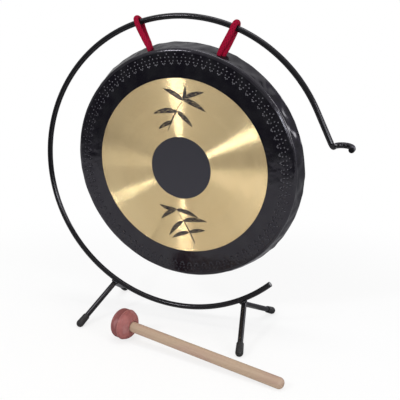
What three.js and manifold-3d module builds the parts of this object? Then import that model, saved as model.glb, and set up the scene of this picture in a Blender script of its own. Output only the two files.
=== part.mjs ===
import * as THREE from 'three';
import { mergeVertices } from 'three/addons/utils/BufferGeometryUtils.js';
import Module from 'manifold-3d';

// Table gong on a bent-bar stand, with its two hanging cords and its mallet.
// Millimetres, +Z up, the face looks towards -Y. Angles are in degrees, from +X towards +Z.

const wasm = await Module();
wasm.setup();

// Stand
const rodDiameter = 6;
const hoopSideRoom = 32.3;
const hoopEndRoom = 27;
const hoopAboveFloor = 18;
const hoopLowEndAngle = -48.7;
const hoopCurl = 2.3;
const hoopCurlAngle = -95;
const hoopRunOutAngle = 25;
const hookHeight = 32.4;
const hookBendRadius = 5;
const hookRadius = 9.2;
const hookLeg = 5.5;
const hookTipReach = 2;
const hookRise = 1.3;
const hookDroop = 1.3;
const leftFootX = -98.2;
const rightFootX = 93;
const footHalfDepth = 58.4;
const leftLegSkew = 3.4;
const rightLegSkew = 0.4;
const leftWeldAngle = -119.3;
const rightWeldAngle = -62.5;
const legBendRadius = 6.5;

// Welds between the hoop and the legs
const weldLength = 5.4;
const weldWidth = 4;
const weldDepth = 3.8;

// Rubber caps on the feet
const capDiameter = 8.4;
const capMouthDiameter = 7.7;
const capLength = 16;
const capEndWall = 4;
const capFlat = 0.25;

// Gong
const faceRadius = 126;
const rimFlare = 6.1;
const rimDepth = 17.5;
const faceThickness = 1.8;
const rimThickness = 1.5;
const faceEdgeRadius = 3;
const rimLipRadius = 0.7;
const gongLean = 6.5;
const gongShift = 4.3;
const leftHoleAngle = 104.2;
const rightHoleAngle = 68.4;
const holeDepth = 8.5;
const holeDiameter = 11.4;

// Cords
const cordDiameter = 5.2;
const leftCordAngle = 105.4;
const rightCordAngle = 67.5;
const leftCordTwist = 0;
const rightCordTwist = 65;
const cordDrop = 27.6;
const cordOverRod = 0.5;
const strandGap = 0.4;
const strandRise = 2;
const knotRadius = 6.3;
const knotHeight = 4.6;
const knotTail = 11;
const knotGap = 0.9;

// Mallet
const malletLength = 202;
const shaftDiameter = 11;
const buttRounding = 4.6;
const headRadius = 15.8;
const headCrown = 7.5;
const headSide = 6.6;
const headBack = 8.6;
const headTaper = 10.3;
const headSeam = 0.5;
const seamWidth = 0.8;
const headBore = 13.5;
const malletTipX = -45.9;
const malletTipY = -62.3;
const malletHeading = -12.4;

// Fits
const seatGap = 0.3;
const boreGap = 0.25;
const overrun = 40;

// Counts of faces
const barSides = 12;
const hoopSteps = 92;
const bendSteps = 7;
const hookSteps = 12;
const capSides = 20;
const gongSides = 84;
const holeSides = 20;
const cordSides = 10;
const cordArcSteps = 10;
const ballSides = 20;
const ballRings = 12;
const roundSteps = 6;
const edgeSteps = 4;
const malletSides = 32;
const malletRoundSteps = 8;
const settleRounds = 6;

const rodRadius = rodDiameter / 2;
const cordRadius = cordDiameter / 2;
const shaftRadius = shaftDiameter / 2;
const rimBackRadius = faceRadius + rimFlare;
const hoopHalfWidth = rimBackRadius + hoopSideRoom;
const hoopHalfHeight = rimBackRadius + hoopEndRoom;
const floorZ = -hoopHalfHeight - hoopAboveFloor;

const paint = { color: 0x232428, roughness: 0.3, metalness: 0.2 };
const rubber = { color: 0x1d1e20, roughness: 0.65, metalness: 0 };
const bronze = { color: 0xc8ab74, roughness: 0.32, metalness: 0.9 };
const crimson = { color: 0xa50f37, roughness: 0.8, metalness: 0 };
const beech = { color: 0xc9ab8c, roughness: 0.6, metalness: 0 };
const rose = { color: 0x9a5a58, roughness: 0.75, metalness: 0 };

const model = new THREE.Group();

function addPart(parent, name, geometry, look) {
  const mesh = new THREE.Mesh(geometry, new THREE.MeshStandardMaterial(look));
  mesh.name = name;
  parent.add(mesh);
  return mesh;
}

// Closed mesh with shared corners and without the flat triangles that a lathe leaves at its poles.
function sealed(geometry) {
  const bare = geometry.clone();
  bare.deleteAttribute('normal');
  bare.deleteAttribute('uv');
  const merged = mergeVertices(bare);
  const kept = [];
  const index = merged.index.array;
  for (let i = 0; i < index.length; i += 3) {
    const [a, b, c] = [index[i], index[i + 1], index[i + 2]];
    if (a !== b && b !== c && c !== a) kept.push(a, b, c);
  }
  merged.setIndex(kept);
  merged.computeVertexNormals();
  return merged;
}

function toSolid(geometry) {
  const closed = sealed(geometry);
  return new wasm.Manifold(new wasm.Mesh({
    numProp: 3,
    vertProperties: new Float32Array(closed.attributes.position.array),
    triVerts: new Uint32Array(closed.index.array),
  }));
}

function toGeometry(solid) {
  const mesh = solid.getMesh();
  const geometry = new THREE.BufferGeometry();
  geometry.setAttribute('position', new THREE.BufferAttribute(new Float32Array(mesh.vertProperties), 3));
  geometry.setIndex(new THREE.BufferAttribute(new Uint32Array(mesh.triVerts), 1));
  geometry.computeVertexNormals();
  return geometry;
}

// Centre of mass of a closed mesh, from the tetrahedra between its triangles and the origin.
function massCentre(geometry) {
  const corner = [new THREE.Vector3(), new THREE.Vector3(), new THREE.Vector3()];
  const sum = new THREE.Vector3();
  const index = geometry.index.array;
  let volume = 0;
  for (let i = 0; i < index.length; i += 3) {
    corner.forEach((point, k) => point.fromBufferAttribute(geometry.attributes.position, index[i + k]));
    const [a, b, c] = corner;
    const part = a.dot(b.clone().cross(c)) / 6;
    volume += part;
    sum.addScaledVector(a, part / 4).addScaledVector(b, part / 4).addScaledVector(c, part / 4);
  }
  return sum.divideScalar(volume);
}

// Centre line of a bar or cord: its sections stand at these points, square to the way through each.
class StationPath extends THREE.Curve {
  constructor(points) {
    super();
    this.points = points;
  }

  getPoint(t, target = new THREE.Vector3()) {
    return target.copy(this.points[Math.round(t * (this.points.length - 1))]);
  }

  getPointAt(t, target) {
    return this.getPoint(t, target);
  }

  getTangent(t, target = new THREE.Vector3()) {
    const last = this.points.length - 1;
    const i = Math.round(t * last);
    target.set(0, 0, 0);
    if (i > 0) target.add(this.points[i].clone().sub(this.points[i - 1]).normalize());
    if (i < last) target.add(this.points[i + 1].clone().sub(this.points[i]).normalize());
    return target.normalize();
  }

  getTangentAt(t, target) {
    return this.getTangent(t, target);
  }
}

function roundBar(points, radius, sides) {
  const section = new THREE.Shape();
  for (let i = 0; i < sides; i++) {
    const angle = (i * 2 * Math.PI) / sides;
    const corner = [radius * Math.cos(angle), radius * Math.sin(angle)];
    if (i === 0) section.moveTo(...corner);
    else section.lineTo(...corner);
  }
  section.closePath();
  return new THREE.ExtrudeGeometry(section, {
    steps: points.length - 1,
    bevelEnabled: false,
    extrudePath: new StationPath(points),
  });
}

// Points round the bend that joins the line from `before` to `corner` with the line on to `after`.
function bend(before, corner, after, radius, steps) {
  const back = before.clone().sub(corner).normalize();
  const on = after.clone().sub(corner).normalize();
  const half = back.angleTo(on) / 2;
  const centre = corner.clone().addScaledVector(back.clone().add(on).normalize(), radius / Math.sin(half));
  const start = corner.clone().addScaledVector(back, radius / Math.tan(half)).sub(centre);
  const axis = on.clone().cross(back).normalize();
  const points = [];
  for (let i = 0; i <= steps; i++) {
    const turn = ((Math.PI - 2 * half) * i) / steps;
    points.push(start.clone().applyAxisAngle(axis, turn).add(centre));
  }
  return points;
}

function arcPoints(steps, place) {
  return Array.from({ length: steps + 1 }, (_, i) => place(i / steps));
}

// A quarter of an ellipse in a lathe outline, from one (radius, height) pair to the next.
function quarter(from, to, steps, startsFlat) {
  return arcPoints(steps, (t) => {
    const angle = (t * Math.PI) / 2;
    const across = startsFlat ? Math.sin(angle) : 1 - Math.cos(angle);
    const along = startsFlat ? 1 - Math.cos(angle) : Math.sin(angle);
    return new THREE.Vector2(from[0] + (to[0] - from[0]) * across, from[1] + (to[1] - from[1]) * along);
  });
}

// Hoop: an oval bar that runs clockwise from its low end, which curls in, to the hook that holds the mallet
function hoopPoint(angle) {
  const turn = THREE.MathUtils.degToRad(angle);
  const along = angle > hoopLowEndAngle ? angle - 360 : angle;
  const share = Math.max(0, (along - hoopCurlAngle) / (hoopLowEndAngle - hoopCurlAngle));
  const point = new THREE.Vector3(hoopHalfWidth * Math.cos(turn), 0, hoopHalfHeight * Math.sin(turn));
  return point.setLength(point.length() - hoopCurl * share ** 2);
}

function hoopLine() {
  const sweep = hoopRunOutAngle - 360 - hoopLowEndAngle;
  const round = arcPoints(hoopSteps, (t) => hoopPoint(hoopLowEndAngle + sweep * t));
  const last = round[round.length - 1];
  const turn = THREE.MathUtils.degToRad(hoopRunOutAngle);
  const way = new THREE.Vector3(hoopHalfWidth * Math.sin(turn), 0, -hoopHalfHeight * Math.cos(turn));
  const corner = last.clone().addScaledVector(way, (last.z - hookHeight) / -way.z);
  const hookStart = corner.clone().add(new THREE.Vector3(0, hookLeg, 0));
  const hook = arcPoints(hookSteps, (t) => new THREE.Vector3(
    hookStart.x + hookRadius * (1 - Math.cos(Math.PI * t)),
    hookLeg + hookRadius * Math.sin(Math.PI * t),
    hookHeight + hookRise * Math.sin(Math.PI * t) - hookDroop * t,
  ));
  const tip = new THREE.Vector3(hookStart.x + 2 * hookRadius, -hookTipReach, hookHeight - hookDroop);
  return [...round, ...bend(last, corner, hookStart, hookBendRadius, bendSteps), ...hook, tip];
}

const hoopPoints = hoopLine();

function hoopRod() {
  addPart(model, 'hoop_rod', roundBar(hoopPoints, rodRadius, barSides), paint);
}

// Legs: one bar bent into a V on each side, welded under the hoop, with a rubber cap on each end
function legLine(weldAngle, footX, skew) {
  const seat = hoopPoint(weldAngle);
  const middle = new THREE.Vector3(footX, 0, floorZ + capDiameter / 2 - capFlat);
  const down = middle.clone().sub(seat).normalize();
  const reach = middle.distanceTo(seat) - rodDiameter - seatGap;
  let rise = reach;
  for (let round = 0; round < settleRounds; round++) {
    rise = reach - legBendRadius + (legBendRadius * Math.hypot(footHalfDepth, rise)) / footHalfDepth;
  }
  const corner = middle.clone().addScaledVector(down, -rise);
  const feet = [-1, 1].map((end) => new THREE.Vector3(
    middle.x + end * Math.sign(footX) * skew,
    end * footHalfDepth,
    middle.z,
  ));
  const ends = feet.map((foot) => {
    const up = corner.clone().sub(foot).normalize();
    return foot.clone().addScaledVector(up, capEndWall + seatGap - capDiameter / 2);
  });
  const points = [ends[0], ...bend(ends[0], corner, ends[1], legBendRadius, bendSteps), ends[1]];
  return { points, seat, down, corner, feet };
}

const legLines = {
  left: legLine(leftWeldAngle, leftFootX, leftLegSkew),
  right: legLine(rightWeldAngle, rightFootX, rightLegSkew),
};

function legs() {
  for (const [side, leg] of Object.entries(legLines)) {
    addPart(model, `${side}_leg_rod`, roundBar(leg.points, rodRadius, barSides), paint);
  }
}

// Weld beads: each fills the corner under the hoop on one side of a leg
function welds() {
  const hoopRoom = toSolid(roundBar(hoopPoints.slice(0, hoopSteps), rodRadius + seatGap, barSides));
  for (const [side, leg] of Object.entries(legLines)) {
    const legRoom = toSolid(roundBar(leg.points, rodRadius + seatGap, barSides));
    const along = new THREE.Vector3(0, 1, 0).cross(leg.down).normalize();
    const middle = leg.seat.clone().addScaledVector(leg.down, (rodDiameter + seatGap) / 2);
    for (const [place, way] of Object.entries({ inner: -1, outer: 1 })) {
      const outward = along.clone().multiplyScalar(way * Math.sign(along.x * leg.seat.x));
      const frame = new THREE.Matrix4().makeBasis(
        outward,
        leg.down.clone().cross(outward),
        leg.down,
      ).setPosition(middle);
      const bead = new THREE.SphereGeometry(1, ballSides, ballRings).scale(weldLength, weldWidth, weldDepth);
      const room = new THREE.BoxGeometry(overrun, overrun, overrun).translate(overrun / 2, 0, overrun / 2);
      const solid = toSolid(bead.applyMatrix4(frame)).intersect(toSolid(room.applyMatrix4(frame)));
      addPart(model, `${side}_weld_${place}`, toGeometry(solid.subtract(hoopRoom).subtract(legRoom)), paint);
    }
  }
}

function caps() {
  const radius = capDiameter / 2;
  const bore = rodRadius + boreGap;
  const outline = [
    ...quarter([0, 0], [radius, radius], roundSteps, true),
    new THREE.Vector2(capMouthDiameter / 2, capLength),
    new THREE.Vector2(bore, capLength),
    new THREE.Vector2(bore, capEndWall),
    new THREE.Vector2(0, capEndWall),
  ];
  const cap = new THREE.LatheGeometry(outline, capSides);
  const ground = new THREE.BoxGeometry(overrun, overrun, overrun);
  for (const [side, leg] of Object.entries(legLines)) {
    leg.feet.forEach((foot, end) => {
      const up = leg.corner.clone().sub(foot).normalize();
      const turn = new THREE.Quaternion().setFromUnitVectors(new THREE.Vector3(0, 1, 0), up);
      const tip = foot.clone().addScaledVector(up, -radius);
      const placed = cap.clone().applyQuaternion(turn).translate(tip.x, tip.y, tip.z);
      const under = ground.clone().translate(foot.x, foot.y, floorZ - overrun / 2);
      const name = `${side}_${end === 0 ? 'front' : 'rear'}_foot_cap`;
      addPart(model, name, toGeometry(toSolid(placed).subtract(toSolid(under))), rubber);
    });
  }
}

// Gong: a flat face in a rim that flares backwards, pierced for the two cords
function rimRadiusAt(depth) {
  return faceRadius + ((rimBackRadius - faceRadius) * depth) / rimDepth;
}

function gongGeometry() {
  const inner = (depth) => rimRadiusAt(depth) - rimThickness;
  const bendStart = faceThickness + faceEdgeRadius;
  const outline = [
    new THREE.Vector2(0, 0),
    new THREE.Vector2(faceRadius / 2, 0),
    ...quarter([faceRadius - faceEdgeRadius, 0], [rimRadiusAt(faceEdgeRadius), faceEdgeRadius], edgeSteps, true),
    new THREE.Vector2(rimRadiusAt(rimDepth - rimLipRadius), rimDepth - rimLipRadius),
    new THREE.Vector2(rimBackRadius - rimLipRadius / 2, rimDepth),
    new THREE.Vector2(inner(rimDepth) + rimLipRadius / 2, rimDepth),
    new THREE.Vector2(inner(rimDepth - rimLipRadius), rimDepth - rimLipRadius),
    ...quarter([inner(bendStart), bendStart], [inner(bendStart) - faceEdgeRadius, faceThickness], edgeSteps, false),
    new THREE.Vector2(0, faceThickness),
  ];
  let dish = toSolid(new THREE.LatheGeometry(outline, gongSides));
  for (const angle of [leftHoleAngle, rightHoleAngle]) {
    const drill = new THREE.CylinderGeometry(holeDiameter / 2, holeDiameter / 2, overrun, holeSides);
    const turn = new THREE.Quaternion().setFromUnitVectors(new THREE.Vector3(0, 1, 0), holeWay(angle));
    const place = holeWay(angle).multiplyScalar(rimRadiusAt(holeDepth)).setY(holeDepth);
    dish = dish.subtract(toSolid(drill.applyQuaternion(turn).translate(place.x, place.y, place.z)));
  }
  return toGeometry(dish);
}

function holeWay(angle) {
  const turn = THREE.MathUtils.degToRad(angle);
  return new THREE.Vector3(Math.cos(turn), 0, Math.sin(turn));
}

// The gong hangs with its centre of mass straight under the bar.
function gongGroup(geometry) {
  const group = new THREE.Group();
  group.rotation.x = THREE.MathUtils.degToRad(gongLean);
  const centre = massCentre(geometry).applyEuler(group.rotation);
  const mouth = holeWay(leftHoleAngle).multiplyScalar(rimRadiusAt(holeDepth)).setY(holeDepth);
  mouth.applyEuler(group.rotation);
  group.position.set(gongShift, -centre.y, hoopPoint(leftCordAngle).z - cordDrop - mouth.z);
  group.updateMatrix();
  return group;
}

const gongShape = gongGeometry();
const gong = gongGroup(gongShape);

// Cords: each goes up through its hole, over the hoop and back down through the same hole. The twist turns
// the two strands about each other in the hole, from one behind the other towards side by side.
function cordLine(holeAngle, cordAngle, cordTwist) {
  const rod = hoopPoint(cordAngle);
  const strand = (cordDiameter + strandGap) / 2;
  const twist = THREE.MathUtils.degToRad(cordTwist);
  const way = holeWay(holeAngle);
  const apart = new THREE.Vector3(way.z * Math.sin(twist), Math.cos(twist), -way.x * Math.sin(twist));
  const onGong = (radius, side) => way.clone().multiplyScalar(radius)
    .setY(holeDepth).addScaledVector(apart, side * strand).applyMatrix4(gong.matrix);
  const mouthRadius = rimRadiusAt(holeDepth);
  const innerRadius = mouthRadius - rimThickness - seatGap;
  const mouths = [-1, 1].map((side) => onGong(mouthRadius + strandRise, side));
  const ends = [-1, 1].map((side) => onGong(innerRadius, side));
  const down = mouths[0].clone().add(mouths[1]).divideScalar(2).sub(rod);
  const reach = down.length();
  down.normalize();
  const back = new THREE.Vector3(0, 1, 0);
  back.addScaledVector(down, -back.dot(down)).normalize();
  const loopRadius = rodRadius + cordOverRod + cordRadius;
  const inPlane = strand * Math.cos(twist);
  const start = Math.atan2(inPlane, reach) + Math.acos(loopRadius / Math.hypot(inPlane, reach));
  const loop = arcPoints(cordArcSteps, (t) => {
    const turn = start + (2 * Math.PI - 2 * start) * t;
    return rod.clone().addScaledVector(down, loopRadius * Math.cos(turn))
      .addScaledVector(back, -loopRadius * Math.sin(turn));
  });
  return [ends[0], mouths[0], ...loop, mouths[1], ends[1]];
}

function cords() {
  for (const [side, holeAngle, cordAngle, cordTwist] of [
    ['left', leftHoleAngle, leftCordAngle, leftCordTwist],
    ['right', rightHoleAngle, rightCordAngle, rightCordTwist],
  ]) {
    const line = cordLine(holeAngle, cordAngle, cordTwist);
    addPart(model, `${side}_cord_loop`, roundBar(line, cordRadius, cordSides), crimson);
    addPart(gong, `${side}_cord_knot`, knotGeometry(holeAngle), crimson);
  }
}

// The knot that keeps a cord from slipping out, with its two loose ends
function knotGeometry(holeAngle) {
  const way = holeWay(holeAngle);
  const top = rimRadiusAt(holeDepth) - rimThickness - knotGap;
  const turn = new THREE.Quaternion().setFromUnitVectors(new THREE.Vector3(0, 1, 0), way);
  const ball = new THREE.SphereGeometry(knotRadius, ballSides, ballRings).scale(1, knotHeight / knotRadius, 1);
  let knot = toSolid(ball.applyQuaternion(turn).translate(
    way.x * (top - knotHeight),
    holeDepth,
    way.z * (top - knotHeight),
  ));
  for (const side of [-1, 1]) {
    const tail = new THREE.CylinderGeometry(cordRadius, cordRadius, knotTail, cordSides)
      .applyQuaternion(turn);
    const radius = top - knotHeight - knotTail / 2 - seatGap;
    const across = side * (cordRadius + strandGap);
    const place = new THREE.Vector3(way.x * radius - way.z * across, holeDepth, way.z * radius + way.x * across);
    knot = knot.add(toSolid(tail.translate(place.x, place.y, place.z)));
  }
  return toGeometry(knot);
}

// Mallet: lies in front of the stand, on the seam of its head and the end of its shaft
const seamAlong = headCrown + headSide;

function malletGroup() {
  const group = new THREE.Group();
  const span = malletLength - buttRounding - seamAlong;
  const slope = Math.atan2(headRadius + headSeam - shaftRadius, span);
  const height = (headRadius + headSeam) * Math.cos(slope) + seamAlong * Math.sin(slope);
  group.position.set(malletTipX, malletTipY, floorZ + height);
  group.rotation.set(0, slope, THREE.MathUtils.degToRad(malletHeading), 'ZYX');
  return group;
}

function mallet() {
  const group = malletGroup();
  const bore = shaftRadius + boreGap;
  const mouth = seamAlong + headBack;
  const backOutline = arcPoints(malletRoundSteps, (t) => {
    const along = seamWidth / 2 + (headBack - seamWidth / 2) * t;
    return new THREE.Vector2(headRadius * Math.sqrt(1 - (along / headTaper) ** 2), seamAlong + along);
  });
  const headOutline = [
    ...quarter([0, 0], [headRadius, headCrown], malletRoundSteps, true),
    new THREE.Vector2(headRadius, seamAlong - seamWidth / 2),
    new THREE.Vector2(headRadius + headSeam, seamAlong),
    ...backOutline,
    new THREE.Vector2(bore, mouth),
    new THREE.Vector2(bore, mouth - headBore),
    new THREE.Vector2(0, mouth - headBore),
  ];
  const shaftStart = mouth - headBore + seatGap;
  const shaftOutline = [
    new THREE.Vector2(0, shaftStart),
    new THREE.Vector2(shaftRadius, shaftStart),
    ...quarter([shaftRadius, malletLength - buttRounding], [shaftRadius - buttRounding, malletLength], edgeSteps, false),
    new THREE.Vector2(0, malletLength),
  ];
  for (const [name, outline, look] of [
    ['mallet_head', headOutline, rose],
    ['mallet_shaft', shaftOutline, beech],
  ]) {
    const turned = new THREE.LatheGeometry(outline, malletSides).rotateZ(-Math.PI / 2);
    addPart(group, name, turned, look);
  }
  model.add(group);
}

hoopRod();
legs();
welds();
caps();
model.add(gong);
addPart(gong, 'gong', gongShape, bronze);
cords();
mallet();

// The origin is under the middle of the whole set, on the surface that it stands on.
model.updateMatrixWorld(true);
const bounds = new THREE.Box3().setFromObject(model, true);
const middle = bounds.getCenter(new THREE.Vector3());
model.position.set(-middle.x, -middle.y, -bounds.min.z);

const gongSet = new THREE.Group();
gongSet.add(model);
export default gongSet;
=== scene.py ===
import bpy
import numpy as np
from mathutils import Matrix, Vector


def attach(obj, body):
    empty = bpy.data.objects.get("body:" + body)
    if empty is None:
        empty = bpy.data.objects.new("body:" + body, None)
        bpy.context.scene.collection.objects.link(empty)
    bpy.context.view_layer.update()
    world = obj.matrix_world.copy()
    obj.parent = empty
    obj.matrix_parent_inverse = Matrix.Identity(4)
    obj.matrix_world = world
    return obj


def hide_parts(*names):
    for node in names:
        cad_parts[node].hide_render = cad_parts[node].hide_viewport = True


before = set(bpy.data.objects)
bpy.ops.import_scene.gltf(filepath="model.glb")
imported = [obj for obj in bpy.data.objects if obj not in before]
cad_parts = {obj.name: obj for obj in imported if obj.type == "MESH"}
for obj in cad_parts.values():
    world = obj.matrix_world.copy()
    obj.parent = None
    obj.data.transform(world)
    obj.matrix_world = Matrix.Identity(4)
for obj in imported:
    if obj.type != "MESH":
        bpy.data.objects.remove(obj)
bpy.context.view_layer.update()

# Values are in millimetres and degrees, and places are from the middle of the hoop. The studio's values and the
# relief of each finish are in metres.
middle = np.array([-9.8936, 23.7127, 177.1])
millimetre = 0.001
backwards = np.array([0, 1, 0])


def toMetres(points):
    return (np.asarray(points, float) + middle) * millimetre


def unit(v):
    return v / np.linalg.norm(v, axis=-1, keepdims=True)


def polar(degrees):  # x and z of a direction in the hoop's plane
    turn = np.radians(degrees)
    return np.cos(turn), np.sin(turn)


def wholeTurn(sides):
    return np.linspace(0, 2 * np.pi, sides, endpoint=False)


def newObject(name, data):
    obj = bpy.data.objects.new(name, data)
    bpy.context.scene.collection.objects.link(obj)
    return obj


camera = {"eye": (278.7625, -626.5532, 127.4399), "turn": 21.9921, "tilt": 13.3691, "roll": 0.141,
          "lens": 57.759, "sensor": 36, "clip": (0.01, 50)}


def addCamera():
    data = bpy.data.cameras.new("camera")
    data.lens, data.sensor_width = camera["lens"], camera["sensor"]
    data.clip_start, data.clip_end = camera["clip"]
    obj = newObject("camera", data)
    place = Matrix.Translation(Vector(toMetres(camera["eye"])))
    for degrees, axis in ((camera["turn"], "Z"), (90 - camera["tilt"], "X"), (camera["roll"], "Z")):
        place = place @ Matrix.Rotation(np.radians(degrees), 4, axis)
    obj.matrix_world = place
    bpy.context.scene.camera = obj


addCamera()
print("camera set")


def newMesh(name, points, faces, material):
    mesh = bpy.data.meshes.new(name)
    mesh.from_pydata(points, [], faces, shade_flat=False)
    mesh.materials.append(material)
    return newObject(name, mesh)


# A piece from its points and sets of faces with the same number of corners each; uvs has a pair for each corner.
# The signed volume, a sixth of the sum of a.(b x c) over the faces' triangles, says whether they point outwards.
def makePiece(name, points, faceSets, body, nodes, material, uvs=None):
    points = toMetres(points)
    volume = 0.0
    for faces in faceSets:
        corners = points[faces]
        for k in range(1, faces.shape[1] - 1):
            volume += np.einsum("ij,ij->i", corners[:, 0], np.cross(corners[:, k], corners[:, k + 1])).sum()
    way = -1 if volume < 0 else 1
    obj = newMesh(name, points.tolist(), [face for faces in faceSets for face in faces[:, ::way].tolist()], material)
    if uvs:
        pairs = np.concatenate([pairs[:, ::way].ravel() for pairs in uvs])
        obj.data.uv_layers.new(name="along").data.foreach_set("uv", pairs.astype(np.float32))
    obj.data.validate()
    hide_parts(*nodes)
    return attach(obj, body)


# Fans from the first ring and from the ring at last to their poles, the last two points of the list
def fanFaces(sides, last, pole):
    j = np.arange(sides)
    k = (j + 1) % sides
    pole = np.full(sides, pole)
    return np.concatenate([np.stack([pole, k, j], -1), np.stack([pole + 1, last + j, last + k], -1)])


# Faces between rings of equal count, one after the other in the list of points, and a fan at each end
def tubeFaces(rings, sides):
    i, j = np.meshgrid(np.arange(rings - 1), np.arange(sides), indexing="ij")
    k = (j + 1) % sides
    quads = np.stack([i * sides + j, i * sides + k, (i + 1) * sides + k, (i + 1) * sides + j], -1).reshape(-1, 4)
    return [quads, fanFaces(sides, (rings - 1) * sides, rings * sides)]


# The map of such faces: x runs once round, and y is each ring's value of along.
def tubeMap(sides, along):
    i, j = np.meshgrid(np.arange(len(along) - 1), np.arange(sides), indexing="ij")
    left, right, low, high = j / sides, (j + 1) / sides, along[i], along[i + 1]
    pairs = np.stack([left, low, right, low, right, high, left, high], -1).reshape(-1, 4, 2)
    j = j[0]
    ends = [np.full(sides, along[at]) for at in (0, -1)]
    fanPairs = [np.stack([(j + 0.5) / sides, end, (j + 1) / sides, end, j / sides, end], -1) for end in ends]
    return [pairs, np.concatenate(fanPairs).reshape(-1, 3, 2)]


def stepsAlong(line):  # the length of the line up to each of its points
    return np.concatenate([[0], np.cumsum(np.linalg.norm(np.diff(line, axis=0), axis=1))])


# Frames along a line: the way is the central difference, and a crosswise direction is carried from point to point
# by taking out its part along the way, so that the section does not twist.
def carriedFrames(line, start):
    way = unit(np.gradient(line, axis=0))
    across = np.empty_like(line)
    side = np.asarray(start, float)
    for i, t in enumerate(way):
        side = side - t * side.dot(t)
        side = side / np.linalg.norm(side)
        across[i] = side
    return way, across, np.cross(way, across)


# A tube: circles of the given radius round the line, each flattened upwards to the given share, and at each end
# rings of (distance out, radius) that close it.
def sweep(line, radius, sides, start, ends, flat=1.0):
    way, across, up = carriedFrames(line, start)
    out = np.asarray(ends, float)

    def withEnds(values):
        return np.concatenate([np.repeat(values[:1], len(out), 0), values, np.repeat(values[-1:], len(out), 0)])

    centres = np.concatenate([line[0] - way[0] * out[::-1, :1], line, line[-1] + way[-1] * out[:, :1]])
    radii = np.concatenate([out[::-1, 1], np.broadcast_to(radius, len(line)), out[:, 1]])
    flats = withEnds(np.broadcast_to(flat, len(line)).astype(float))
    turn = wholeTurn(sides)[None, :, None]
    up = (withEnds(up) * flats[:, None])[:, None]
    grid = radii[:, None, None] * (np.cos(turn) * withEnds(across)[:, None] + np.sin(turn) * up)
    points = (grid + centres[:, None]).reshape(-1, 3)
    points = np.concatenate([points, centres[:1], centres[-1:]])
    return points, tubeFaces(len(centres), sides), tubeMap(sides, stepsAlong(centres))


# Points round the bend of given radius that joins the line from before to corner with the line on to after
def bend(before, corner, after, radius, steps):
    back, on = unit(before - corner), unit(after - corner)
    half = np.arccos(back.dot(on)) / 2
    centre = corner + unit(back + on) * radius / np.sin(half)
    first = corner + back * radius / np.tan(half) - centre
    side = unit(np.cross(np.cross(on, back), first)) * radius
    turn = np.linspace(0, np.pi - 2 * half, steps + 1)[:, None]
    return centre + first * np.cos(turn) + side * np.sin(turn)


def smooth(share):  # from 0 to 1 with level ends
    share = np.clip(share, 0, 1)
    return share * share * (3 - 2 * share)


def between(a, b, steps):  # points on the straight line from a to b
    return a + (b - a) * np.linspace(0, 1, steps + 1)[:, None]


def operators(operation):  # the plain one and the reflected one
    return (lambda self, other: self.finish.maths(operation, self, other),
            lambda self, other: self.finish.maths(operation, other, self))


# A shader value: + - * / ** on it, from either side, add Math nodes.
class Value:
    def __init__(self, finish, socket):
        self.finish, self.socket = finish, socket

    __add__, __radd__ = operators("ADD")
    __sub__, __rsub__ = operators("SUBTRACT")
    __mul__, __rmul__ = operators("MULTIPLY")
    __truediv__, __rtruediv__ = operators("DIVIDE")
    __pow__, __rpow__ = operators("POWER")

    def pick(self, name):
        return Value(self.finish, self.socket.node.outputs[name])


# The nodes of one material, or of the world
class Finish:
    def __init__(self, owner):
        owner.use_nodes = True
        self.owner, self.tree = owner, owner.node_tree
        self.tree.nodes.clear()

    # Adds a node: its settings first, then the values or links of its sockets. A colour is given without its alpha.
    def node(self, kind, inputs, output=0, **settings):
        made = self.tree.nodes.new("ShaderNode" + kind)
        for key, value in settings.items():
            setattr(made, key, value)
        for key, value in inputs.items():
            socket = made.inputs[key]
            if isinstance(value, Value):
                self.tree.links.new(value.socket, socket)
            else:
                socket.default_value = (*value, 1) if socket.type == "RGBA" else value
        return Value(self, made.outputs[output])

    def maths(self, operation, *values):
        return self.node("Math", dict(enumerate(values)), operation=operation)

    def between(self, value, low, high, start=0.0, end=1.0):  # smooth step from start at low to end at high
        return self.node("MapRange", dict(enumerate((value, low, high, start, end))), interpolation_type="SMOOTHSTEP")

    # Noise with about scale features a millimetre, or with a scale for each axis
    def noise(self, place, scale, detail=2.0, rough=0.5, warp=0.0):
        if isinstance(scale, tuple):
            place, scale = self.node("Mapping", {"Vector": place, "Scale": scale}), 1.0
        return self.node("TexNoise", {
            "Vector": place, "Scale": scale, "Detail": detail, "Roughness": rough, "Distortion": warp})

    def layers(self, colour, *layers):  # a colour with others mixed over it in turn, each by its share
        for share, over in layers:
            colour = self.node("Mix", {0: share, 6: colour, 7: over}, 2, data_type="RGBA")
        return colour

    def place(self, at=(0, 0, 0), turn=(0, 0, 0)):  # object coordinates in millimetres about a point, in turned axes
        return self.node("Mapping", {
            "Vector": self.node("TexCoord", {}, "Object"), "Location": at, "Rotation": turn,
            "Scale": (millimetre,) * 3}, vector_type="TEXTURE")

    def vector(self, x, y, z):
        return self.node("CombineXYZ", {0: x, 1: y, 2: z})

    def parts(self, vector):
        x = self.node("SeparateXYZ", {0: vector})
        return x, x.pick("Y"), x.pick("Z")

    def bump(self, height, distance, strength, under=None):  # height 1 stands distance metres proud
        under = {} if under is None else {"Normal": under}
        return self.node("Bump", {"Height": height, "Distance": distance, "Strength": strength, **under})

    def surface(self, look, colour, rougher, normal, metal=0.0):
        return self.close(self.node("BsdfPrincipled", {
            "Base Color": colour, "Roughness": look["rough"] + rougher, "Normal": normal, "Metallic": metal,
            "Specular IOR Level": look["gloss"], "Specular Tint": look.get("tint", (1, 1, 1))}))

    def rays(self):  # 1 to the camera's rays, and 1 to mirrored and refracted ones
        path = self.node("LightPath", {}, "Is Camera Ray")
        return path, self.maths("MAXIMUM", path.pick("Is Glossy Ray"), path.pick("Is Transmission Ray"))

    def close(self, shader, output="OutputMaterial"):
        self.tree.links.new(shader.socket, self.tree.nodes.new("ShaderNode" + output).inputs["Surface"])
        return self.owner


def newFinish(name):
    return Finish(bpy.data.materials.new(name))


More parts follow.
